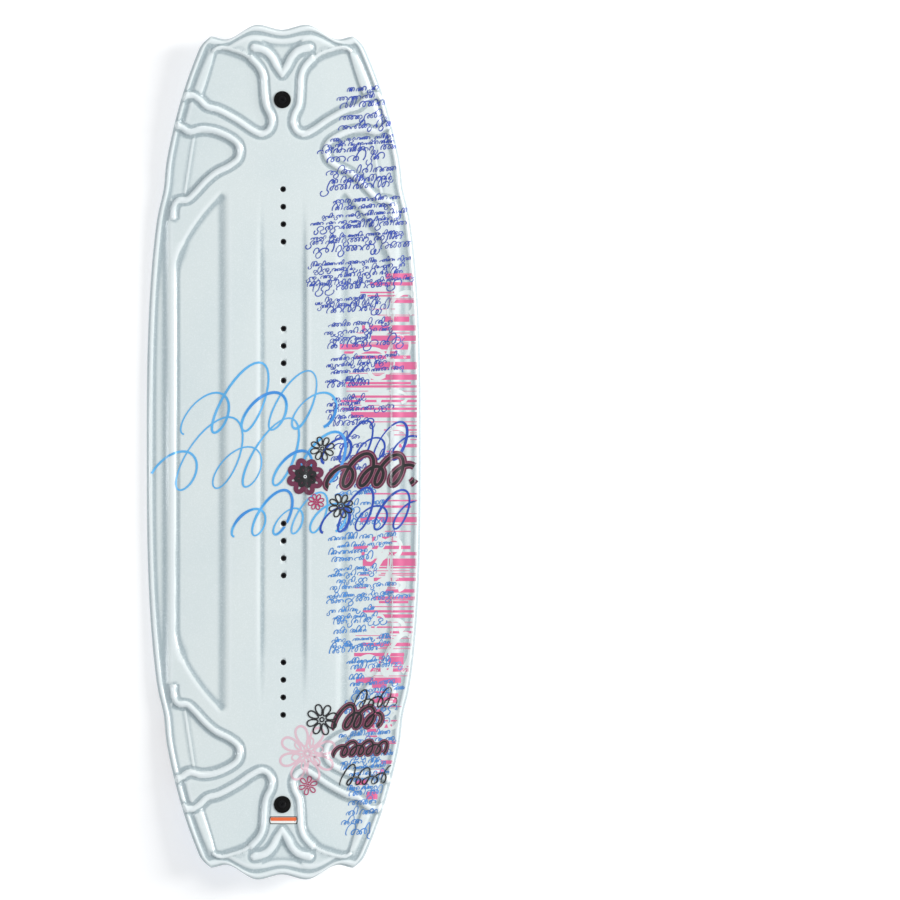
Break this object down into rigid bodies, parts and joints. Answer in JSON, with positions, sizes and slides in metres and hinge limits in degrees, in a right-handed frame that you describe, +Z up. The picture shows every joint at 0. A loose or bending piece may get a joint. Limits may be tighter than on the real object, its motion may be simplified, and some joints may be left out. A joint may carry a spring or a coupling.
{
  "type": "wakeboard",
  "caption": "Twin-tip wakeboard with scalloped tips, a moulded deck, rows of binding inserts and a bolted centre fin under each tip.",
  "frame": {"origin": "on the floor under the middle of the belly", "axes": "+Y to the nose, +X to the right of a viewer looking down at the deck with the nose up, +Z up out of the deck"},
  "size_m": [0.402, 1.2402, 0.066],
  "materials": {
    "deck": "pearl gloss with printed line art",
    "base": "pearl gloss with printed line art",
    "rail": "white gloss",
    "core": "closed-cell foam",
    "laminate": "glass fibre in resin",
    "strip": "dense reinforcing board",
    "insert": "blackened",
    "fin": "moulded black, satin",
    "washer": "moulded black",
    "screw": "blackened",
    "bush": "turned",
    "sleeve": "drawn tube",
    "sticker": "printed film"
  },
  "bodies": {
    "root": {"base_laminate": "laminate", "base_sheet": "base", "base_sticker": "sticker", "core": "core", "deck_laminate": "laminate", "deck_sheet": "deck", "deck_sticker": "sticker", "edge_rail": "rail", "fin_nose": "fin", "fin_nut_nose": "bush", "fin_nut_tail": "bush", "fin_screw_nose": "screw", "fin_screw_tail": "screw", "fin_sleeve_nose": "sleeve", "fin_sleeve_tail": "sleeve", "fin_tail": "fin", "fin_washer_nose": "washer", "fin_washer_tail": "washer", "inserts_nose_inner": "insert", "inserts_nose_outer": "insert", "inserts_tail_inner": "insert", "inserts_tail_outer": "insert", "strip_nose_inner": "strip", "strip_nose_outer": "strip", "strip_tail_inner": "strip", "strip_tail_outer": "strip"}
  },
  "joints": []
}
